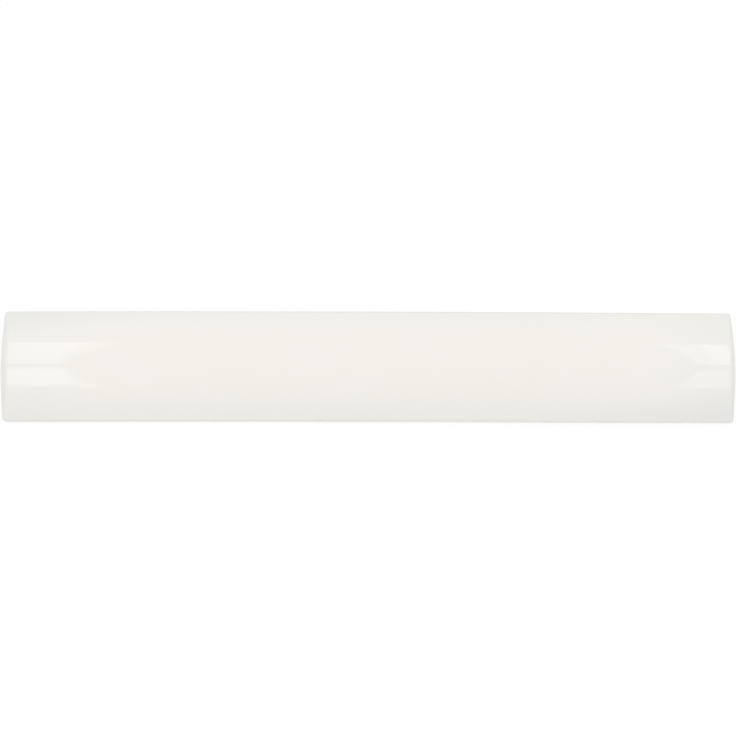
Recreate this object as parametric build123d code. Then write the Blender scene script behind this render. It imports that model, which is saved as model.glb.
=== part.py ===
"""Pencil liner tile: a long, narrow, crowned trim tile, glazed on top and keyed on its back.

The frame: +X runs along the tile, +Z points out of the glazed crown, and the origin is the
middle of the bed, so the tile lies on z = 0 as it is stored. Everything is in millimetres.
"""
from build123d import *
import os

# Outline of the face
tile_length = 200.0
tile_width = 30.4

# Section: straight side walls under a crown that is one arc
side_wall_height = 3.5
crown_rise = 6.5

# Edges softened in the press and by the glaze
end_roll_radius = 1.7
side_arris_radius = 0.8

# Keyed back: drafted grooves that the bedding mortar fills
groove_count = 4
groove_pitch = 6.0
groove_mouth_width = 3.2
groove_depth = 0.9
groove_draft_deg = 25.0
groove_end_margin = 7.0


def end_outline():
    """The section seen from one end: flat bed, side walls and crown."""
    half_width = tile_width / 2
    crown_top = side_wall_height + crown_rise
    with BuildSketch(Plane.YZ) as section:
        with BuildLine():
            Polyline(
                (-half_width, side_wall_height),
                (-half_width, 0),
                (half_width, 0),
                (half_width, side_wall_height),
            )
            ThreePointArc(
                (half_width, side_wall_height),
                (0, crown_top),
                (-half_width, side_wall_height),
            )
        make_face()
    return section.sketch


def crowned_bar():
    """The section drawn out to the length of the tile, centred on the origin."""
    return extrude(end_outline(), amount=tile_length / 2, both=True)


def roll_ends(tile):
    """Rolls the crown over into the two flat end faces."""
    end_faces = tile.faces().sort_by(Axis.X)
    crown_ends = [face.edges().sort_by(Axis.Z)[-1] for face in (end_faces[0], end_faces[-1])]
    return fillet(crown_ends, end_roll_radius)


def soften_sides(tile):
    """Rounds every edge of the two long side walls, except where they meet the bed."""
    faces = tile.faces().sort_by(Axis.Y)
    long_sides = (faces[0], faces[-1])
    arrises = [edge for side in long_sides for edge in side.edges() if edge.center().Z > 0]
    return fillet(arrises, side_arris_radius)


def back_keys():
    """The grooves pressed into the bed, as solids to cut away."""
    groove_length = tile_length - 2 * groove_end_margin
    with BuildPart() as keys:
        with BuildSketch(Plane.XY):
            with GridLocations(0, groove_pitch, 1, groove_count):
                SlotOverall(groove_length, groove_mouth_width)
        extrude(amount=groove_depth, taper=groove_draft_deg)
    return keys.part


def liner_tile():
    """The whole pressed and fired piece."""
    return soften_sides(roll_ends(crowned_bar())) - back_keys()


os.makedirs("parts", exist_ok=True)
export_step(liner_tile(), "parts/liner_tile.step")
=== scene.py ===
# %% [markdown]
# # A pencil liner tile
# A pencil liner is the narrow rounded strip that finishes the top or the edge of a tiled wall.
# It is pressed from clay dust, fired, dipped face down in glaze and fired again.
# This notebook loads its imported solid, models the fired piece more finely over it, gives glaze and
# bare clay their finish, and sets the lamps and the camera of a plain product picture.

# %% Load the frame
import math

import bmesh
import bpy
from bmesh.types import BMEdge, BMFace, BMVert
from mathutils import Euler, Matrix, Vector, noise


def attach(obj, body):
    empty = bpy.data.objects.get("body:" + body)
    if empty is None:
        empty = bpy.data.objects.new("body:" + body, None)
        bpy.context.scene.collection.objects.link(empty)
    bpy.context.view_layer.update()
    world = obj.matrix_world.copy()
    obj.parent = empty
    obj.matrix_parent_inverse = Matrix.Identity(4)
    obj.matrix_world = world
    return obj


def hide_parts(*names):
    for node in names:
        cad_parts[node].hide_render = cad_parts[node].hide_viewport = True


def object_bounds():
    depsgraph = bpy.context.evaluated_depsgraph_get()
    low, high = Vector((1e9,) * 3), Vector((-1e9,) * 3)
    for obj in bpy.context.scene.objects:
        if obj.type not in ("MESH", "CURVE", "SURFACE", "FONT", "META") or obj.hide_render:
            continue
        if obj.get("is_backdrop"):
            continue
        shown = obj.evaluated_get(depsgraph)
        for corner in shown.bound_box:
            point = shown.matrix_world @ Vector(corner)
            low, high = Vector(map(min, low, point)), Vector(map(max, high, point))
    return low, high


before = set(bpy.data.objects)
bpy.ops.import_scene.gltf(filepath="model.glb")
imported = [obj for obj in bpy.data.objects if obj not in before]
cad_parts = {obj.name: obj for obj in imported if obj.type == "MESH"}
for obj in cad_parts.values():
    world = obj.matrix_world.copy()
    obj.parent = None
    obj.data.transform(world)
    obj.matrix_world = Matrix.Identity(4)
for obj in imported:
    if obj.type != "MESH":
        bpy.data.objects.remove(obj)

cad_low, cad_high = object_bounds()
MM = 0.001
print("the solid measures", [round(v / MM, 2) for v in cad_high - cad_low], "mm")

# %% [markdown]
# ## Sizes
# The solid's box gives the overall sizes, so the two can't drift apart. The rest are the small
# radii that a press and a glaze leave, and they are what a close view shows.
# The two ends differ, as they do on the real tile: more glaze ran over the left one.

# %% Name the sizes
half_length, half_width, height = cad_high
side_wall = 3.5 * MM
crown_rise = height - side_wall

arris_radius = 0.95 * MM
left, right = -1, 1
crown_roll = {left: 2.3 * MM, right: 1.75 * MM}
front_corner = {left: 0.85 * MM, right: 0.25 * MM}
back_corner = {left: 0.9 * MM, right: 0.6 * MM}

crown_radius = (half_width**2 + crown_rise**2) / (2 * crown_rise)
crown_centre = height - crown_radius
arris_y = half_width - arris_radius
arris_z = crown_centre + math.sqrt((crown_radius - arris_radius) ** 2 - arris_y**2)
crown_angle = math.asin(arris_y / (crown_radius - arris_radius))
arc_degrees = round(2 * math.degrees(crown_angle))
print("the crown's radius is", round(crown_radius / MM, 2), "mm, over", arc_degrees, "degrees")

# %% [markdown]
# ## The section
# The die gives the tile one section all along: two upright sides, two tight arrises and the crown.
# It could be traced as a curve and bevelled, but a spin draws a true arc from a single vertex, and
# three spins in a row, round three centres, give the whole outline with the points spread evenly.

# %% Draw the section with three spins
glaze_line = 1.05 * MM
crown_steps = 96
arris_steps = 8
over_the_top = (-1, 0, 0)


def only(kind, parts):
    """The parts of one kind, out of the mixed list that most bmesh operators return."""
    return [part for part in parts if isinstance(part, kind)]


def swing(bm, vert, centre_y, centre_z, angle, steps):
    """Draws an arc from vert, front to back over the top, and returns the vertex that it ends on."""
    arc = bmesh.ops.spin(
        bm, geom=[vert], cent=(vert.co.x, centre_y, centre_z), axis=over_the_top,
        dvec=(0, 0, 0), angle=angle, steps=steps, use_merge=False,
    )
    return only(BMVert, arc["geom_last"])[0]


def drop(bm, vert, z):
    """Draws a straight line from vert to the height z."""
    drawn = bmesh.ops.extrude_vert_indiv(bm, verts=[vert])
    drawn["verts"][0].co.z = z
    return drawn["verts"][0]


tile = bmesh.new()
wall_top = tile.verts.new((-half_length, -half_width, arris_z))
arris_end = swing(tile, wall_top, -arris_y, arris_z, math.pi / 2 - crown_angle, arris_steps)
crown_end = swing(tile, arris_end, 0, crown_centre, 2 * crown_angle, crown_steps)
back_top = swing(tile, crown_end, arris_y, arris_z, math.pi / 2 - crown_angle, arris_steps)
for top in (wall_top, back_top):
    drop(tile, drop(tile, top, (glaze_line + arris_z) / 2), glaze_line)
print("the section has", len(tile.verts), "points")

# %% [markdown]
# ## The bar
# The section is drawn out ring by ring. A single long extrusion would be enough for a straight bar,
# but glaze is never quite flat, and its slow waves need rings to sit on.
# The rings crowd together at both ends, where the crown will roll over.

# %% Draw the section out along the tile
rings_between = 80
roll_rings = 16
longest_roll = max(crown_roll.values())


def ring_places():
    """Where each ring stands along the tile, from the left end to the right one."""
    turns = [k / roll_rings * math.pi / 2 for k in range(roll_rings + 1)]
    end = [half_length - longest_roll * (1 - math.sin(turn)) for turn in turns]
    straight = half_length - longest_roll
    between = [straight * (2 * k / rings_between - 1) for k in range(1, rings_between)]
    return [-x for x in reversed(end)] + between + end


places = ring_places()
ring = list(tile.edges)
for here, there in zip(places, places[1:]):
    drawn = bmesh.ops.extrude_edge_only(tile, edges=ring)["geom"]
    ring = only(BMEdge, drawn)
    bmesh.ops.translate(tile, verts=only(BMVert, drawn), vec=(there - here, 0, 0))
print("the bar has", len(places), "rings and", len(tile.faces), "faces")

# %% [markdown]
# ## Where the glaze runs thin, and painted shade
# Molten glaze draws back from every place where the surface turns a corner: from both arrises and
# from the rolled ends. The same share also paints shade: a darker line along both long edges, a
# darker band over each rolled end where it turns away from the light, and a little grey over the
# last centimetres of the crown. Two opposite corners, the left back and the right front, get more
# grey than the other two.
# The finish can't tell a corner from a flat by itself. So the shape notes a share for each of its
# points in an attribute, and the shader reads that.

# %% Say how thin the glaze is at a point, and how much shade is painted there
# The arris and roll shares paint thin glaze and, with it, the shade of the edges and rolled ends that
# turn away from the light.
front_thin_and_shade, back_thin_and_shade = 0.25, 0.40
thins_before_arris = math.radians(1)
roll_thin_and_shade = 0.20
roll_thin_and_shade_by = math.radians(30)
# Painted shade: the crown greys a little over its last centimetres towards each end.
ends_shade = 0.07
ends_shade_from = 75 * MM
# Two opposite corners, the left back and the right front, are made a little greyer.
askew_corner_grey = 0.10
askew_from, askew_to = 0.4, 0.8


def smooth_step(x):
    """0 up to 0, 1 from 1 on, and an even S-curve between."""
    x = min(max(x, 0), 1)
    return x * x * (3 - 2 * x)


def on_arris(ny, nz):
    """1 where the arris leaves the crown, fading to 0 where it meets the side wall."""
    past_crown = math.atan2(abs(ny), nz) - crown_angle
    begins = smooth_step(past_crown / thins_before_arris / 2 + 0.5)
    down = max(past_crown, 0) / (math.pi / 2 - crown_angle)
    return begins * math.cos(down * math.pi / 2)


def thin_and_shade_share(x, y, ny, nz, turn):
    """How thin the glaze is and how much shade is painted, from 0 to 1, where turn is how far the crown
    has rolled over.
    """
    towards_end = smooth_step((abs(x) - ends_shade_from) / (half_length - ends_shade_from))
    diagonal = -x * y / (half_length * half_width)
    askew = smooth_step((diagonal - askew_from) / (askew_to - askew_from))
    spread = ends_shade * towards_end + askew_corner_grey * askew
    on_roll = spread / 2 + roll_thin_and_shade * smooth_step(math.sin(turn) / math.sin(roll_thin_and_shade_by))
    return max(spread, on_roll, (front_thin_and_shade if y < 0 else back_thin_and_shade) * on_arris(ny, nz))


print("on the top of a rolled end the share is", round(thin_and_shade_share(half_length, 0, 0, 1, math.pi / 2), 3))

# %% [markdown]
# ## The rolled ends
# In the press the crown turns down into each flat end, widest at its top and tight at the corners.
# A bevel has one width all round, so here each point near an end is moved instead: inwards along
# the section's own normal, and outwards along the tile, as on a quarter circle whose radius
# changes from the crown to the corner.

# %% Roll the ends
full_roll_at = 0.8
tiny = 1e-6
# Each point's share of thin glaze and of painted shade, which the glaze's grey reads.
thin = tile.verts.layers.float.new("glaze_thin_and_shade")


def outward(y, z):
    """The section's normal at one of its points, as (y, z)."""
    if z <= arris_z:
        return math.copysign(1, y), 0
    if abs(y) <= crown_radius * math.sin(crown_angle):
        across = Vector((y, z - crown_centre))
    else:
        across = Vector((y - math.copysign(arris_y, y), z - arris_z))
    return tuple(across.normalized())


def roll_radius(side, y, z):
    """Wide over the crown, tight down the upright corners."""
    corner = (front_corner if y < 0 else back_corner)[side]
    up_the_crown = (z - arris_z - arris_radius / 2) / (crown_rise * full_roll_at)
    return corner + (crown_roll[side] - corner) * smooth_step(up_the_crown)


for vert in tile.verts:
    x, y, z = vert.co
    side = left if x < 0 else right
    reach = (abs(x) - half_length + longest_roll) / longest_roll
    turn = math.asin(min(max(reach, 0), 1))
    ny, nz = outward(y, z)
    vert[thin] = thin_and_shade_share(x, y, ny, nz, turn)
    if reach > -tiny:
        radius = roll_radius(side, y, z)
        inset = radius * (1 - math.cos(turn))
        vert.co = (side * (half_length - radius * (1 - math.sin(turn))), y - ny * inset, z - nz * inset)
print("rolled", sum(abs(v.co.x) > half_length - longest_roll for v in tile.verts), "points")

# %% [markdown]
# ## The end faces
# Each end is flat inside its roll. One many-sided face would do for the shape, but a glossy face
# also needs clean normals, so the outline is first drawn in a little way in its own plane. Scaling
# it about the middle of the face keeps the tight corners from crossing, as an even inset would not.
# The lower edge is cut into short pieces, because the glaze will end there unevenly.

# %% Close the two ends
end_cuts = 24
end_middle = 0.45 * height
end_border = 0.92
end_thin = 0.35
hair = 1e-7


def end_ring(side):
    """The edges of the open section at one end."""
    at_end = half_length - hair
    return [e for e in tile.edges if all(side * v.co.x > at_end for v in e.verts)]


for side in (left, right):
    outline = {v for e in end_ring(side) for v in e.verts}
    lowest = sorted(outline, key=lambda v: (v.co.z, v.co.y))[:2]
    sill = bmesh.ops.contextual_create(tile, geom=lowest)["edges"]
    bmesh.ops.subdivide_edges(tile, edges=sill, cuts=end_cuts)
    drawn = bmesh.ops.extrude_edge_only(tile, edges=end_ring(side))["geom"]
    inner = only(BMVert, drawn)
    middle = Matrix.Translation((0, 0, -end_middle))
    bmesh.ops.scale(tile, verts=inner, vec=(1, end_border, end_border), space=middle)
    for vert in inner:
        vert[thin] = end_thin
    bmesh.ops.contextual_create(tile, geom=only(BMEdge, drawn))
print("the glaze shell is open only below:", sum(e.is_boundary for e in tile.edges), "rim edges")

# %% [markdown]
# ## The glaze lip and the bare foot
# The tile is dipped face down, so the glaze ends a millimetre above the bed in a thin rounded lip.
# Below it the fired clay stands bare and a little further in.
# The open rim is extruded down step by step and drawn in by scaling: on a long rectangle, scaling
# each way by its own share moves all four sides in by the same amount.
# Each step is a height above the bed and an inset from the full outline, both in millimetres.

# %% Extrude the rim down to the bed
glaze, clay = 0, 1
lip = [(0.98, 0.01), (0.94, 0.04), (0.92, 0.09)]
foot = [(0.16, 0.08), (0.06, 0.10), (0.01, 0.14), (0.00, 0.20)]


def rim_edges():
    """The edges of the shell's open rim, as it stands."""
    return [e for e in tile.edges if e.is_boundary]


def step_down(fall, inset, stuff):
    """Extrudes the rim down and inwards in one material."""
    drawn = bmesh.ops.extrude_edge_only(tile, edges=rim_edges())["geom"]
    verts = only(BMVert, drawn)
    bmesh.ops.scale(tile, verts=verts, vec=(1 - inset / half_length, 1 - inset / half_width, 1))
    bmesh.ops.translate(tile, verts=verts, vec=(0, 0, -fall))
    for face in only(BMFace, drawn):
        face.material_index = stuff


z_before, inset_before = glaze_line, 0
for steps, stuff in ((lip, glaze), (foot, clay)):
    for z, inset in steps:
        step_down(z_before - z * MM, inset * MM - inset_before, stuff)
        z_before, inset_before = z * MM, inset * MM
print("the rim now lies at", round(max(v.co.z for e in rim_edges() for v in e.verts) / MM, 3), "mm")

# %% [markdown]
# ## The keyed back
# Drafted grooves in the bed hold the mortar. Each starts as a circle whose two halves are pulled
# apart into a slot. The bed is then filled between its rim and the slots in one go, and each slot
# is extruded up and drawn in: first a small chamfer, then the drafted wall, then a roof.

# %% Fill the bed and press the grooves
groove_count = 4
groove_pitch = 6.0 * MM
groove_mouth = 3.2 * MM
groove_end_margin = 7.0 * MM
groove_depth = 0.9 * MM
groove_draft = math.radians(25)
mouth_chamfer = 0.15 * MM
slot_reach = half_length - groove_end_margin
slot_half = groove_mouth / 2
slot_segments = 32


def slot_outline(y):
    """A slot drawn flat on the bed, centred on y."""
    drawn = bmesh.ops.create_circle(tile, segments=slot_segments, radius=slot_half, cap_ends=False)
    circle = drawn["verts"]
    for vert in circle:
        vert.co.x += math.copysign(slot_reach - slot_half, vert.co.x)
        vert.co.y += y
    return [e for e in tile.edges if e.is_wire and e.verts[0] in circle]


def deepen(edges, y, inset, rise, reach, half):
    """Extrudes a slot's edges up into the clay and draws them in."""
    drawn = bmesh.ops.extrude_edge_only(tile, edges=edges)["geom"]
    verts = only(BMVert, drawn)
    for face in only(BMFace, drawn):
        face.material_index = clay
    shrink = ((reach - inset) / reach, (half - inset) / half, 1)
    bmesh.ops.scale(tile, verts=verts, vec=shrink, space=Matrix.Translation((0, -y, 0)))
    bmesh.ops.translate(tile, verts=verts, vec=(0, 0, rise))
    return only(BMEdge, drawn)


def fill(edges):
    """Closes a flat outline with faces that look down, and leaves any slots in it open."""
    made = bmesh.ops.triangle_fill(tile, edges=edges, use_beauty=True, normal=(0, 0, -1))["geom"]
    for face in only(BMFace, made):
        face.material_index = clay


rows = [(k - (groove_count - 1) / 2) * groove_pitch for k in range(groove_count)]
slots = [slot_outline(y) for y in rows]
fill(rim_edges() + [e for slot in slots for e in slot])
for y, slot in zip(rows, slots):
    mouth = deepen(slot, y, mouth_chamfer, mouth_chamfer, slot_reach, slot_half)
    wall_rise = groove_depth - mouth_chamfer
    reach, half = slot_reach - mouth_chamfer, slot_half - mouth_chamfer
    roof = deepen(mouth, y, wall_rise * math.tan(groove_draft), wall_rise, reach, half)
    fill(roof)
print("open edges left:", len(rim_edges()), "faces:", len(tile.faces))

# %% [markdown]
# ## What the kiln does
# Clay moves as it dries and fires: the real tile bows sideways by a quarter of a millimetre, its
# right front corner is drawn in by half of that, and its glaze lies in slow shallow waves and ends
# in an uneven line. These are moves of the finished mesh. The waves are only a hundredth of a
# millimetre high, because a gloss surface shows a slope of a tenth of a degree.

# %% Bow the tile and let the glaze wander
bow = 0.265 * MM
drawn_in = 0.14 * MM
drawn_in_from = 65 * MM
wave_height = 0.010 * MM
wave_length = 26 * MM
waves_across = 2
lip_wander = 0.16 * MM
lip_wander_length = 9 * MM
lowest_lip = lip[-1][0] * MM


def kiln_move(vert):
    """How far the kiln has moved one point."""
    x, y, z = vert.co
    move = Vector((0, bow * (0.5 - (x / half_length) ** 2), 0))
    corner = smooth_step((x - drawn_in_from) / (half_length - drawn_in_from)) * max(-y / half_width, 0)
    move.y += drawn_in * corner
    wave = noise.noise(Vector((x, y * waves_across, z)) / wave_length)
    move += vert.normal * wave * wave_height * smooth_step((z - side_wall / 2) / side_wall)
    if lowest_lip - tiny < z < glaze_line + tiny:
        move.z += lip_wander * noise.noise(vert.co / lip_wander_length)
    return move


bmesh.ops.recalc_face_normals(tile, faces=tile.faces)
tile.normal_update()
moves = [kiln_move(vert) for vert in tile.verts]
for vert, move in zip(tile.verts, moves):
    vert.co += move
for face in tile.faces:
    face.smooth = True
tile.normal_update()
volume = tile.calc_volume()
print("the tile holds", round(volume / MM**3), "cubic millimetres")

# %% [markdown]
# ## Onto the frame
# The mesh becomes an object at the origin, unturned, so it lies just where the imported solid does.
# It rides on the root body and is shown in the solid's place. Gloss shows every facet, so all faces
# are shaded smooth, and only angles sharper than 35 degrees, as on the back, stay crisp.
# An extrusion hands back its new parts in an order that can change from one run to the next. So the
# edges and the faces are sorted by where they lie, and every run writes the same mesh.

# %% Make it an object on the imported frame
sharp_from = math.radians(35)
along_across_up = Vector((1, 1e-3, 1e-6))


def sort_place(part):
    """Where an edge or a face lies, as one number: along the tile first, then across, then up."""
    return sum((vert.co for vert in part.verts), Vector()).dot(along_across_up)


tile.edges.sort(key=sort_place)
tile.faces.sort(key=sort_place)
mesh = bpy.data.meshes.new("fired_tile")
tile.to_mesh(mesh)
tile.free()
mesh.set_sharp_from_angle(angle=sharp_from)
fired_tile = bpy.data.objects.new("fired_tile", mesh)
bpy.context.scene.collection.objects.link(fired_tile)
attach(fired_tile, "root")
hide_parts("liner_tile")
print("fired_tile has", len(mesh.polygons), "faces")

# %% [markdown]
# ## Finishes
# Colours are given as screen hex values, which the shader needs as linear light.
# One small function adds a node, its settings and its links, so each material below reads as a
# list of what happens to the light.

# %% Helpers for colours and nodes


def colour(hex_value):
    """An sRGB hex colour as linear RGBA."""
    parts = [int(hex_value[k:k + 2], 16) / 255 for k in (1, 3, 5)]
    return tuple(c / 12.92 if c <= 0.04045 else ((c + 0.055) / 1.055) ** 2.4 for c in parts) + (1,)


def add(tree, kind, settings=None, **links):
    """Adds a node. A link is an output socket of another node, anything else is a plain value."""
    node = tree.nodes.new(kind)
    for name, value in (settings or {}).items():
        setattr(node, name, value)
    for name, value in links.items():
        key = int(name[1:]) if name[0] == "i" and name[1:].isdigit() else name.replace("_", " ")
        socket = node.inputs[key]
        if isinstance(value, bpy.types.NodeSocket):
            tree.links.new(value, socket)
        else:
            socket.default_value = value
    return node


def new_tree(owner):
    """Empties the owner's node tree and returns it."""
    owner.use_nodes = True
    owner.node_tree.nodes.clear()
    return owner.node_tree


print("the middle grey #808080 is", round(colour("#808080")[0], 3), "as linear light")

# %% [markdown]
# ### Cream tin glaze
# A glossy opaque glaze is glass with fine white crystals in it. The eye gets a clean sharp
# reflection from the glass, and a soft even cream from the crystals under it.
# Glass runs off an edge while it is molten, so where the glaze is thin it looks a cool grey; the same
# grey also paints the shade of the edges and rolled ends that turn away from the light. The slopes
# are painted a little darker and cooler than the crown: painted shade.
# A few pinholes stay where gas left the glaze, each a dot some tenths of a millimetre wide.
# A coat over a base could give the same two layers, but at this thickness one surface looks alike.

# %% Cream tin glaze, its colour
crown_tone = colour("#f5f2ed")
clouded_tone = colour("#f2efe8")
# Painted shade: the slopes are coloured a little darker and cooler than the crown.
slope_shade_tone = colour("#f1efea")
# This grey paints thin glaze and also painted shade on the long edges and the rolled ends.
thin_glaze_and_shade_tone = colour("#cad1d5")
cloud_length = 14 * MM
slope_from, slope_to = 8.8 * MM, 4.0 * MM

cream_glaze = bpy.data.materials.new("cream_tin_glaze")
tree = new_tree(cream_glaze)
place = add(tree, "ShaderNodeTexCoord").outputs["Object"]
clouds = add(tree, "ShaderNodeTexNoise", Vector=place, Scale=1 / cloud_length, Detail=3.0)
cloudy = add(
    tree, "ShaderNodeMix", {"data_type": "RGBA"},
    i0=clouds.outputs["Fac"], i6=crown_tone, i7=clouded_tone,
)
z = add(tree, "ShaderNodeSeparateXYZ", Vector=place).outputs["Z"]
# Painted shade, darker and cooler down the slopes towards the side walls.
down_the_slope = add(
    tree, "ShaderNodeMapRange", {"interpolation_type": "SMOOTHSTEP"}, Value=z,
    From_Min=slope_from, From_Max=slope_to, To_Min=0.0, To_Max=1.0,
)
slope_shaded = add(
    tree, "ShaderNodeMix", {"data_type": "RGBA"},
    i0=down_the_slope.outputs["Result"], i6=cloudy.outputs[2], i7=slope_shade_tone,
)
# Painted shade as well as thin glaze: the grey share darkens the edges and the rolled ends.
edge = add(tree, "ShaderNodeAttribute", {"attribute_name": "glaze_thin_and_shade"})
thinned_and_shaded = add(
    tree, "ShaderNodeMix", {"data_type": "RGBA"},
    i0=edge.outputs["Fac"], i6=slope_shaded.outputs[2], i7=thin_glaze_and_shade_tone,
)
print("the glaze's colour takes", len(tree.nodes), "nodes")

# %% Cream tin glaze, its pinholes and gloss
speck_tone = colour("#d8d5cc")
speck_spacing = 11 * MM
speck_radius = 0.22 * MM
speck_dip = 0.01 * MM
peel_length = 1.6 * MM
peel_height = 0.0004 * MM
clearest, haziest = 0.02, 0.05
glass_ior = 1.5

scatter = add(tree, "ShaderNodeTexVoronoi", Vector=place, Scale=1 / speck_spacing)
speck = add(
    tree, "ShaderNodeMapRange", {"interpolation_type": "SMOOTHSTEP"}, Value=scatter.outputs["Distance"],
    From_Min=0.0, From_Max=speck_radius / speck_spacing, To_Min=1.0, To_Max=0.0,
)
specked = add(
    tree, "ShaderNodeMix", {"data_type": "RGBA"},
    i0=speck.outputs["Result"], i6=thinned_and_shaded.outputs[2], i7=speck_tone,
)
haze = add(tree, "ShaderNodeMapRange", Value=clouds.outputs["Fac"], To_Min=clearest, To_Max=haziest)
peel = add(tree, "ShaderNodeTexNoise", Vector=place, Scale=1 / peel_length, Detail=1.0)
orange_peel = add(tree, "ShaderNodeBump", Height=peel.outputs["Fac"], Distance=peel_height, Strength=1.0)
pinholes = add(
    tree, "ShaderNodeBump", {"invert": True}, Height=speck.outputs["Result"],
    Distance=speck_dip, Strength=1.0, Normal=orange_peel.outputs["Normal"],
)
shader = add(
    tree, "ShaderNodeBsdfPrincipled", Base_Color=specked.outputs[2],
    Roughness=haze.outputs["Result"], IOR=glass_ior, Normal=pinholes.outputs["Normal"],
)
add(tree, "ShaderNodeOutputMaterial", Surface=shader.outputs["BSDF"])
print("the whole glaze takes", len(tree.nodes), "nodes")

# %% [markdown]
# ### White biscuit
# Fired clay that was never glazed is called biscuit. It is chalky, with no gloss at all. Close up it
# shows the grain of the pressed dust and open pores of many sizes, and from further off the slow
# clouds that the kiln's heat leaves.
# Round pores all alike would look drilled, so the grain's own noise shifts the edge of each one.

# %% White biscuit, its clouds and grain
biscuit_tone = colour("#e9e2d5")
warm_tone = colour("#dfd5c4")
grain_tone = colour("#d3c9b8")
flush_length = 18 * MM
grain_length = 0.5 * MM
dust_from, dust_to = 0.45, 0.75

biscuit = bpy.data.materials.new("white_biscuit")
tree = new_tree(biscuit)
place = add(tree, "ShaderNodeTexCoord").outputs["Object"]
flush = add(tree, "ShaderNodeTexNoise", Vector=place, Scale=1 / flush_length, Detail=2.0)
flushed = add(
    tree, "ShaderNodeMix", {"data_type": "RGBA"},
    i0=flush.outputs["Fac"], i6=biscuit_tone, i7=warm_tone,
)
grain = add(tree, "ShaderNodeTexNoise", Vector=place, Scale=1 / grain_length, Detail=4.0)
dust = add(
    tree, "ShaderNodeMapRange", Value=grain.outputs["Fac"],
    From_Min=dust_from, From_Max=dust_to, To_Min=0.0, To_Max=1.0,
)
chalk = add(
    tree, "ShaderNodeMix", {"data_type": "RGBA"},
    i0=dust.outputs["Result"], i6=flushed.outputs[2], i7=grain_tone,
)
print("the bare clay's colour takes", len(tree.nodes), "nodes")

# %% White biscuit, its pores
# Painted shade: each pore is coloured darker, as the shade inside it.
pore_shade_tone = colour("#a89d8b")
pore_spacing = 1.6 * MM
pore_radius = 0.14 * MM
pore_spread = 0.35 * MM
pore_fades_at = 0.8
grain_height = 0.03 * MM
chalk_roughness = 0.9
chalk_sheen = 0.2
clay_ior = 1.5

pores = add(tree, "ShaderNodeTexVoronoi", Vector=place, Scale=1 / pore_spacing)
shifted = add(
    tree, "ShaderNodeMath", {"operation": "MULTIPLY_ADD"},
    i0=grain.outputs["Fac"], i1=pore_spread / pore_spacing, i2=pores.outputs["Distance"],
)
pore_edge = (pore_radius + pore_spread / 2) / pore_spacing
pore = add(
    tree, "ShaderNodeMapRange", Value=shifted.outputs[0],
    From_Min=pore_edge * pore_fades_at, From_Max=pore_edge, To_Min=1.0, To_Max=0.0,
)
pitted = add(
    tree, "ShaderNodeMix", {"data_type": "RGBA"},
    i0=pore.outputs["Result"], i6=chalk.outputs[2], i7=pore_shade_tone,
)
rough = add(
    tree, "ShaderNodeMath", {"operation": "SUBTRACT"},
    i0=grain.outputs["Fac"], i1=pore.outputs["Result"],
)
bump = add(tree, "ShaderNodeBump", Height=rough.outputs[0], Distance=grain_height, Strength=1.0)
shader = add(
    tree, "ShaderNodeBsdfPrincipled", Base_Color=pitted.outputs[2], Roughness=chalk_roughness,
    IOR=clay_ior, Specular_IOR_Level=chalk_sheen, Normal=bump.outputs["Normal"],
)
add(tree, "ShaderNodeOutputMaterial", Surface=shader.outputs["BSDF"])

for material in (cream_glaze, biscuit):
    fired_tile.data.materials.append(material)
print("fired_tile wears", [material.name for material in fired_tile.data.materials])

# %% [markdown]
# ## The white table
# A product picture on white needs a table that renders white and still keeps a soft shadow, or the
# tile floats. To the lamps this table is a plain sheet of white card, which throws light back under
# the tile's sides. To the camera most of it is a glow at just over white, so that only the deepest
# part of the shadow, close by the tile, still shows. In reflections the glow is weaker: the lowest
# part of the glazed flanks mirrors the shadow, and that draws the thin darker line round the tile.

# %% White table
table_half = 4.0
card_tone = colour("#f2f2f2")
card_glow = 1.04
glow_seen = 0.84
glow_mirrored = 0.5


def ray_kinds(tree):
    """Whether a ray comes from the camera, and whether it comes off a mirror or through glass."""
    ray = add(tree, "ShaderNodeLightPath")
    mirrored = add(
        tree, "ShaderNodeMath", {"operation": "MAXIMUM"},
        i0=ray.outputs["Is Glossy Ray"], i1=ray.outputs["Is Transmission Ray"],
    )
    return ray.outputs["Is Camera Ray"], mirrored.outputs[0]


table_mesh = bpy.data.meshes.new("white_table")
sheet = bmesh.new()
bmesh.ops.create_grid(sheet, x_segments=1, y_segments=1, size=table_half)
sheet.to_mesh(table_mesh)
sheet.free()
white_table = bpy.data.objects.new("white_table", table_mesh)
bpy.context.scene.collection.objects.link(white_table)
white_table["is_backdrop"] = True

white_card = bpy.data.materials.new("white_card")
tree = new_tree(white_card)
from_camera, mirrored = ray_kinds(tree)
in_mirror = add(tree, "ShaderNodeMath", {"operation": "MULTIPLY"}, i0=mirrored, i1=glow_mirrored)
share = add(
    tree, "ShaderNodeMath", {"operation": "MULTIPLY_ADD"},
    i0=from_camera, i1=glow_seen, i2=in_mirror.outputs[0],
)
card = add(tree, "ShaderNodeBsdfDiffuse", Color=card_tone)
glow = add(tree, "ShaderNodeEmission", Strength=card_glow)
both = add(tree, "ShaderNodeMixShader", i0=share.outputs[0], i1=card.outputs[0], i2=glow.outputs[0])
add(tree, "ShaderNodeOutputMaterial", Surface=both.outputs[0])
white_table.data.materials.append(white_card)
print("the table is a sheet of", 2 * table_half, "m each way")

# %% [markdown]
# ## Light
# The glaze is a mirror, so the lamps are shapes as much as light: two pairs of flat panels hang to
# the left and the right of the camera, and each end of the crown shows one pair, with the dark bar
# between them. Their places follow from the reflections: a ray from the camera that meets the
# crown at the edge of a highlight goes on to the edge of a panel. No two are quite alike, and most
# hang a little askew, as lamps in a real studio do.
# All but the front one on the right fade towards their edges, and that gives their highlights soft
# tips. Each of these has a second sheet just above it, its core. Light passes through a lamp's
# sheet, so the two add up, and the strip that only one of them covers is half as bright.
# A row of the list is a sheet: its reach in x and in y, its share of the glow, its turn in degrees
# and its lift above the others.

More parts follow.
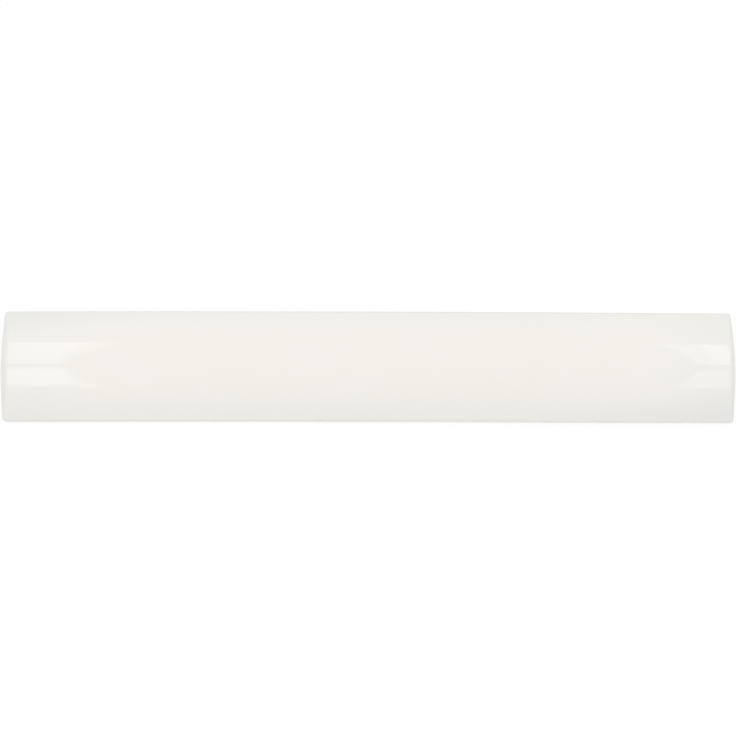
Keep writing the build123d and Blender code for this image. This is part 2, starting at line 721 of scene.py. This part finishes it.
# %% Hang the panels
panel_height = 0.60
core_lift = 0.002
panel_glow = 1.23
panels = {
    "left_back": ((-0.280, -0.1634), (0.071, 0.507), 0.55, -1.7, 0),
    "left_back_core": ((-0.280, -0.1755), (0.071, 0.475), 0.50, 0.3, core_lift),
    "left_front": ((-0.280, -0.1622), (-0.335, 0.010), 0.62, 1.8, 0),
    "left_front_core": ((-0.280, -0.1675), (-0.305, -0.014), 0.62, -0.2, core_lift),
    "right_back": ((0.198, 0.270), (0.080, 0.490), 0.75, -0.5, 0),
    "right_back_core": ((0.2155, 0.270), (0.080, 0.490), 0.60, -3.4, core_lift),
    "right_front": ((0.1935, 0.270), (-0.326, -0.009), 0.68, -0.5, 0),
}
for name, ((x_from, x_to), (y_from, y_to), share, turned, lift) in panels.items():
    lamp = bpy.data.lights.new(name, "AREA")
    lamp.shape = "RECTANGLE"
    lamp.size, lamp.size_y = x_to - x_from, y_to - y_from
    lamp.energy = panel_glow * share * math.pi * lamp.size * lamp.size_y
    panel = bpy.data.objects.new(name, lamp)
    panel.location = ((x_from + x_to) / 2, (y_from + y_to) / 2, panel_height + lift)
    panel.rotation_euler.z = math.radians(turned)
    panel.visible_camera = False
    bpy.context.scene.collection.objects.link(panel)
print(len(panels), "sheets of light hang at", panel_height, "m")

# %% [markdown]
# ## The room
# Most of the light on the tile comes from a pale room, evenly from all sides and a little more from
# the back, where its window is. An image of a studio could be wrapped round the scene, but a level
# and a slope say the same in two numbers.
# The camera and the mirror in the glaze see the room as plain white low down, where the background
# of a level view lies, and at its own level overhead.

# %% Fill the room with light
room_light = 0.9
window_side = 0.055
white_horizon = 0.3
horizon_blend = 0.1

room = bpy.data.worlds.new("soft_room")
tree = new_tree(room)
way = add(tree, "ShaderNodeTexCoord").outputs["Generated"]
split = add(tree, "ShaderNodeSeparateXYZ", Vector=way)
low = add(
    tree, "ShaderNodeMapRange", Value=split.outputs["Z"],
    From_Min=white_horizon - horizon_blend, From_Max=white_horizon, To_Min=1.0, To_Max=room_light,
)
soft = add(
    tree, "ShaderNodeMath", {"operation": "MULTIPLY_ADD"},
    i0=split.outputs["Y"], i1=window_side * room_light, i2=room_light,
)
from_camera, mirrored = ray_kinds(tree)
shown = add(tree, "ShaderNodeMath", {"operation": "MAXIMUM"}, i0=from_camera, i1=mirrored)
strength = add(
    tree, "ShaderNodeMix", {"data_type": "FLOAT"},
    i0=shown.outputs[0], i2=soft.outputs[0], i3=low.outputs["Result"],
)
background = add(tree, "ShaderNodeBackground", Color=(1, 1, 1, 1), Strength=strength.outputs[0])
add(tree, "ShaderNodeOutputWorld", Surface=background.outputs[0])
bpy.context.scene.world = room
print("the room lights the tile at", room_light, "of white")

# %% [markdown]
# ## The camera
# It looks almost straight down and a little from the front, from under 60 cm. So near, the crown is
# plainly larger than the bed, and that is why the straight ends look bowed.

# %% Set up the camera
camera_place = Vector((-0.00505, -0.07613, 0.53250))
camera_turn = Euler([math.radians(a) for a in (8.143, -0.552, 0.082)], "XYZ")
lens_mm = 95.18
sensor_mm = 36

eye = bpy.data.cameras.new("copy_stand")
eye.sensor_width = sensor_mm
eye.lens = lens_mm
camera = bpy.data.objects.new("copy_stand", eye)
camera.location = camera_place
camera.rotation_euler = camera_turn
bpy.context.scene.collection.objects.link(camera)
bpy.context.scene.camera = camera
bpy.context.scene.view_settings.view_transform = "Standard"
print("the camera stands", round(camera_place.length, 3), "m from the middle of the bed")

# %% [markdown]
# ## The last measure
# The box of the dressed tile is printed at the end, as the box of the imported solid was at the start.

# %% Write the fired tile's box and finish
low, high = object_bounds()
print("the fired tile measures", [round(v / MM, 3) for v in high - low], "mm")
